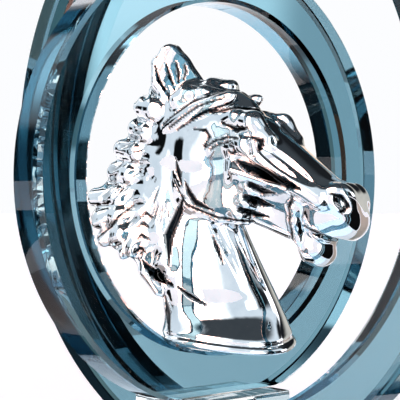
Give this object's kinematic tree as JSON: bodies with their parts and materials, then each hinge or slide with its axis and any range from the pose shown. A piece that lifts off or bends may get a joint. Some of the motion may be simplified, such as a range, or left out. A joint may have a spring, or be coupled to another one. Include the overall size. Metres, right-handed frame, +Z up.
{
  "type": "horse head trophy",
  "caption": "Mirror-plated horse head bust standing inside crossed smoky blue crystal rings on a low clear crystal base.",
  "frame": {"origin": "centre of the footprint, on the floor plane under the base", "axes": "+Z up; the small ring faces -Y and the large ring faces -X; the horse looks towards -Y and a little towards +X"},
  "size_m": [0.16, 0.2226, 0.2345],
  "materials": {
    "clear_crystal": "polished clear crystal",
    "smoky_crystal": "polished smoky blue crystal",
    "mirror_plate": "mirror-polished silver-coloured plating"
  },
  "bodies": {
    "root": {"base": "clear_crystal", "outer_ring": "smoky_crystal", "pad": "clear_crystal", "inner_ring": "smoky_crystal", "horse_head": "mirror_plate"}
  },
  "joints": []
}
